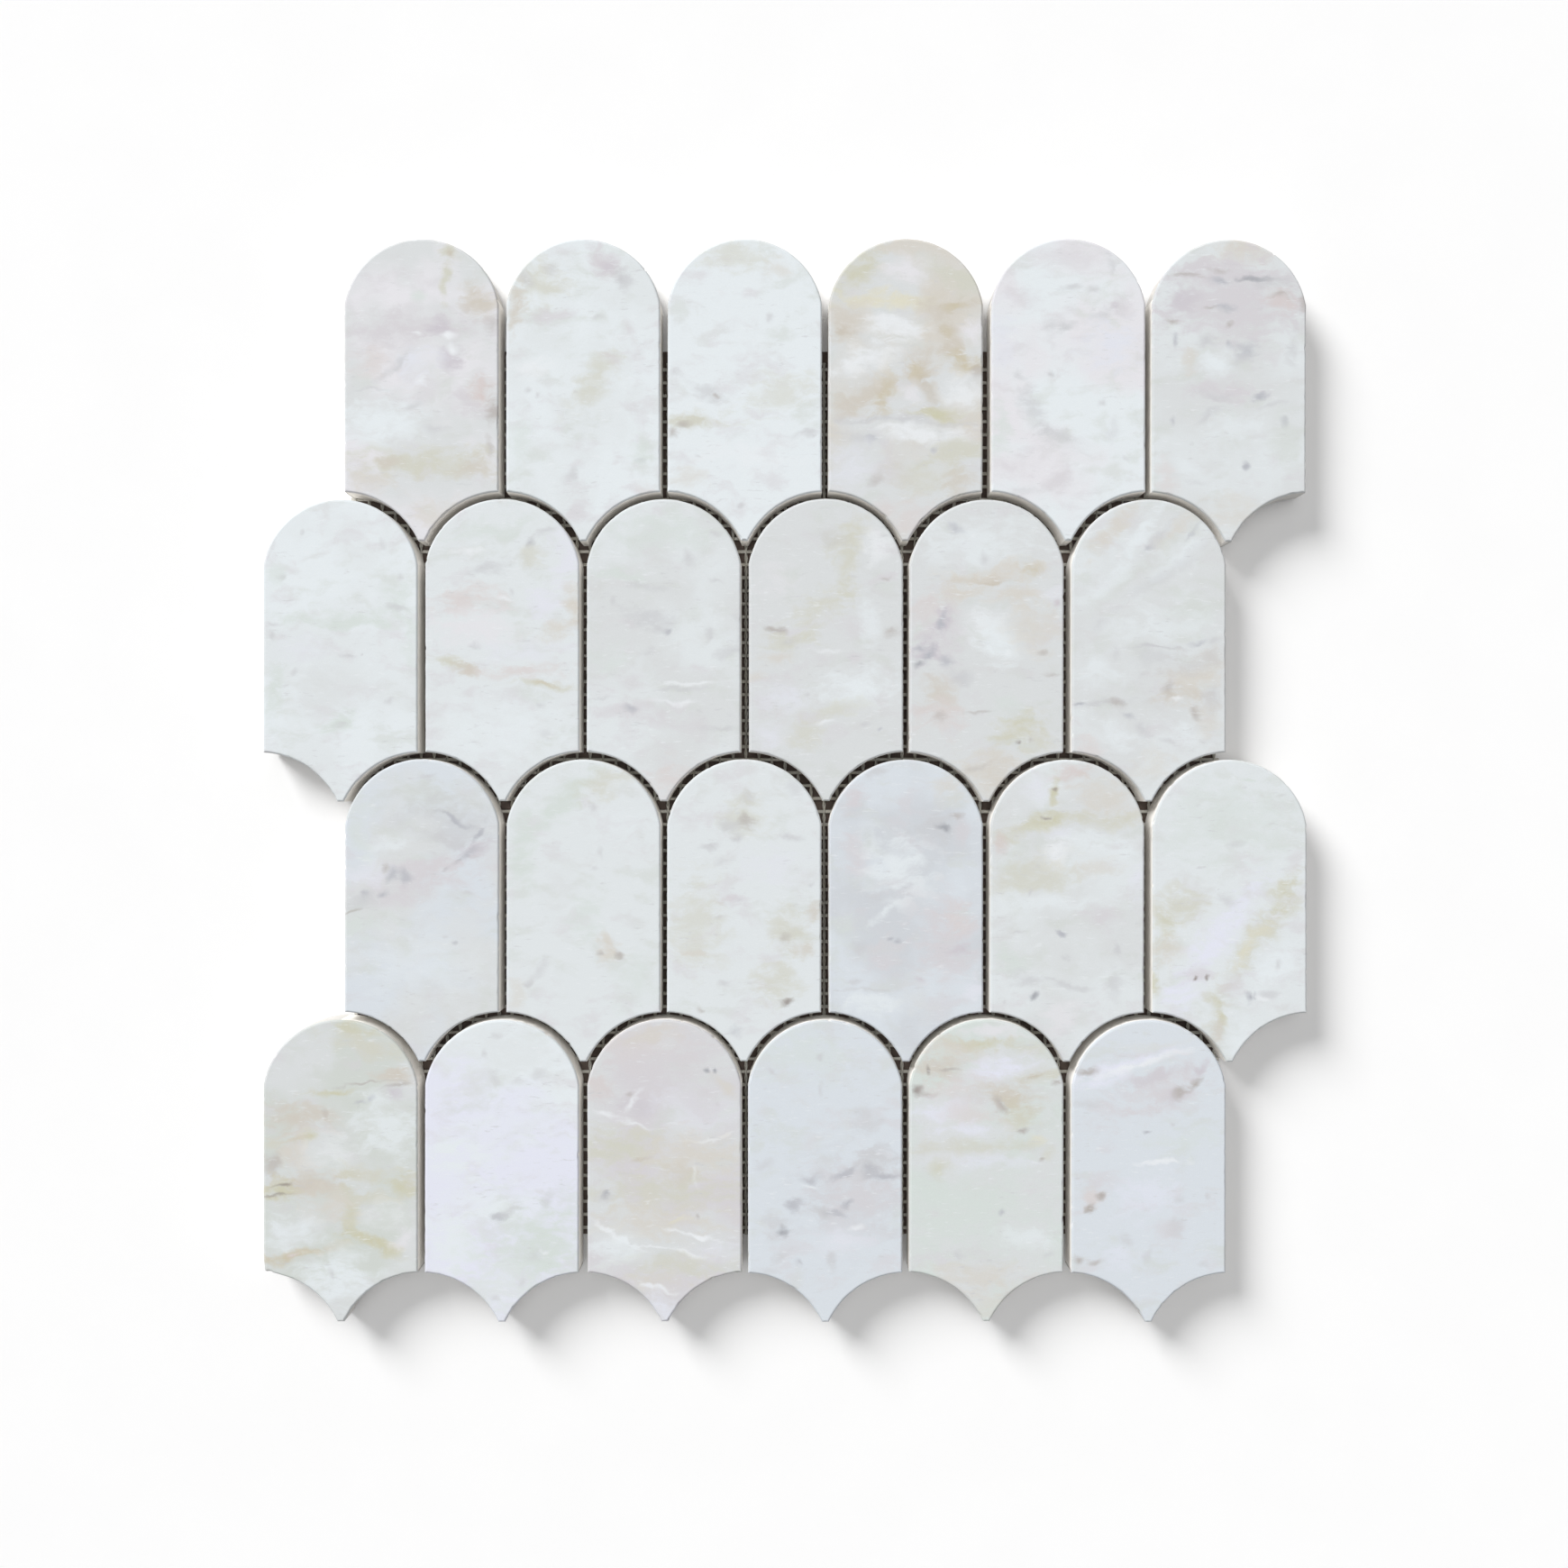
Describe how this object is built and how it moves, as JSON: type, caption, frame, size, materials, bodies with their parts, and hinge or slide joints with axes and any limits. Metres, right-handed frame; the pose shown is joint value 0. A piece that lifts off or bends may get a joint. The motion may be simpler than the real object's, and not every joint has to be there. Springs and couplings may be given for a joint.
{
  "type": "arch stone mosaic tile",
  "caption": "Sheet of interlocking arch-headed marble mosaic stones bonded to an open glass-fibre mesh, for tiling walls and floors.",
  "frame": {"origin": "under the middle of the sheet, on the plane that the mesh lies on", "axes": "+X along the rows, +Y from the stones' feet to their arched heads, +Z out of the polished face"},
  "size_m": [0.292, 0.3016, 0.01],
  "materials": {
    "marble": "polished pale marble with faint clouds and veins, sawn at the sides",
    "glass_mesh": "coated glass-fibre strands"
  },
  "bodies": {
    "root": {"stone_row1_col1": "marble", "stone_row1_col2": "marble", "stone_row1_col3": "marble", "stone_row1_col4": "marble", "stone_row1_col5": "marble", "stone_row1_col6": "marble", "stone_row2_col1": "marble", "stone_row2_col2": "marble", "stone_row2_col3": "marble", "stone_row2_col4": "marble", "stone_row2_col5": "marble", "stone_row2_col6": "marble", "stone_row3_col1": "marble", "stone_row3_col2": "marble", "stone_row3_col3": "marble", "stone_row3_col4": "marble", "stone_row3_col5": "marble", "stone_row3_col6": "marble", "stone_row4_col1": "marble", "stone_row4_col2": "marble", "stone_row4_col3": "marble", "stone_row4_col4": "marble", "stone_row4_col5": "marble", "stone_row4_col6": "marble", "mesh_long_strands": "glass_mesh", "mesh_cross_strands": "glass_mesh"}
  },
  "joints": []
}
